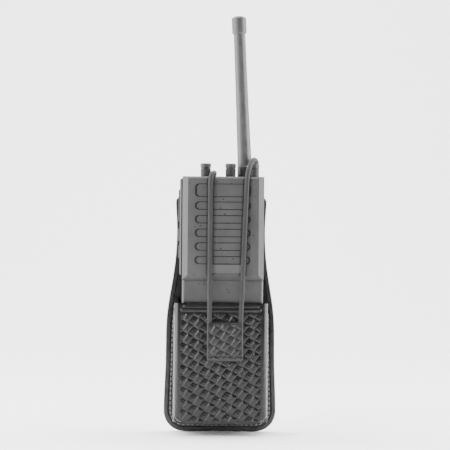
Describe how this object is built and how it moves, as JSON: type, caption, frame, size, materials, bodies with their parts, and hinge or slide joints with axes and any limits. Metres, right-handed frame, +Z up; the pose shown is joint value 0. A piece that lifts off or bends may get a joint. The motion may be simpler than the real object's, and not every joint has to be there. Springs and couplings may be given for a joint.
{
  "type": "portable radio in belt holder",
  "caption": "Hand-held portable two-way radio with a flexible antenna, carried upright in a basket-stamped leather belt holder with an elastic retention cord and pull tab.",
  "frame": {"origin": "middle of the belt slot, half-way between the back panel and the belt loop, at the middle of the belt's height", "axes": "+Z up along the radio and its antenna, -Y towards the front of the pocket, +X to the right when the front is looked at"},
  "size_m": [0.093, 0.0586, 0.3436],
  "materials": {
    "leather": "black basket-stamped leather, waxed",
    "lining_leather": "black smooth lining leather",
    "black_metal": "blackened steel",
    "elastic_cord": "braided cover over rubber strands",
    "housing_plastic": "fine moulded texture",
    "battery_plastic": "smooth satin",
    "plate": "satin plain plate",
    "rubber": "matt black rubber",
    "knob_plastic": "satin black",
    "antenna_rubber": "satin rubber over a coil",
    "steel": "plain",
    "brass": "plain",
    "aluminium": "cast",
    "board": "glass-fibre board",
    "speaker": "paper cone in a steel basket",
    "foam": "foam",
    "cloth": "fine mesh cloth",
    "inner_plastic": "moulded",
    "cell_sleeve": "plain sleeve"
  },
  "bodies": {
    "holder": {"back_panel": "leather", "panel_lining": "lining_leather", "edge_welt": "leather", "pocket": "leather", "belt_loop": "leather", "loop_rivets": "black_metal", "snap_stud": "black_metal", "cord_ferrules": "black_metal", "left_cord_over": "elastic_cord", "right_cord_over": "elastic_cord"},
    "retainer": {"left_cord_leg": "elastic_cord", "right_cord_leg": "elastic_cord", "pull_tab": "leather", "snap_socket": "black_metal"},
    "radio": {"front_housing": "housing_plastic", "name_plate": "plate", "rear_housing": "housing_plastic", "top_plate": "rubber", "side_bezel": "housing_plastic", "battery_case": "battery_plastic", "battery_lid": "battery_plastic", "dust_screen": "cloth", "speaker_ring": "foam", "speaker": "speaker", "microphone": "inner_plastic", "chassis": "aluminium", "main_board": "board", "shield_can": "steel", "side_board": "board", "accessory_socket": "inner_plastic", "volume_control": "inner_plastic", "squelch_control": "inner_plastic", "channel_control": "inner_plastic", "antenna_bush": "brass", "contact_pins": "brass", "battery_contacts": "brass", "cells": "cell_sleeve", "cell_pad": "foam", "housing_screws": "steel", "housing_seal": "rubber", "cover_pin": "steel"},
    "volume": {"volume_knob": "knob_plastic", "volume_shaft": "steel"},
    "squelch": {"squelch_knob": "knob_plastic", "squelch_shaft": "steel"},
    "channel": {"channel_knob": "knob_plastic", "channel_shaft": "steel"},
    "antenna": {"antenna_stud": "brass", "antenna_boot": "antenna_rubber", "antenna_whip": "antenna_rubber", "antenna_cap": "antenna_rubber"},
    "talk": {"talk_button": "rubber"},
    "monitor": {"monitor_button": "rubber"},
    "light": {"light_button": "rubber"},
    "latch": {"battery_latch": "housing_plastic"},
    "cover": {"socket_cover": "housing_plastic"}
  },
  "joints": [
    {"name": "radio_lift", "type": "slide", "parent": "holder", "child": "radio", "axis": [0, 0, 1], "range_m": [0, 0.09], "deforming": ["left_cord_over", "right_cord_over"]},
    {"name": "retainer_swing", "type": "hinge", "parent": "holder", "child": "retainer", "pos_m": [0, -0.04885, 0.052], "axis": [-1, 0, 0], "range_deg": [0, 100]},
    {"name": "volume_turn", "type": "hinge", "parent": "radio", "child": "volume", "pos_m": [-0.0134, -0.029, 0.066], "axis": [0, 0, -1], "range_deg": [0, 270]},
    {"name": "squelch_turn", "type": "hinge", "parent": "radio", "child": "squelch", "pos_m": [0.007, -0.029, 0.066], "axis": [0, 0, -1], "range_deg": [0, 270]},
    {"name": "channel_turn", "type": "hinge", "parent": "radio", "child": "channel", "pos_m": [0.0262, -0.029, 0.066], "axis": [0, 0, -1], "range_deg": [0, 330]},
    {"name": "antenna_turn", "type": "hinge", "parent": "radio", "child": "antenna", "pos_m": [0.0188, -0.019, 0.066], "axis": [0, 0, 1], "continuous": true},
    {"name": "talk_press", "type": "slide", "parent": "radio", "child": "talk", "axis": [1, 0, 0], "range_m": [0, 0.001], "stiffness_N_per_m": 400},
    {"name": "monitor_press", "type": "slide", "parent": "radio", "child": "monitor", "axis": [1, 0, 0], "range_m": [0, 0.0008], "stiffness_N_per_m": 400},
    {"name": "light_press", "type": "slide", "parent": "radio", "child": "light", "axis": [1, 0, 0], "range_m": [0, 0.0008], "stiffness_N_per_m": 400},
    {"name": "latch_slide", "type": "slide", "parent": "radio", "child": "latch", "axis": [0, 0, 1], "range_m": [0, 0.002], "stiffness_N_per_m": 300},
    {"name": "cover_swing", "type": "hinge", "parent": "radio", "child": "cover", "pos_m": [0.0335, -0.0293, 0.03], "axis": [0, 0, -1], "range_deg": [0, 85]}
  ]
}
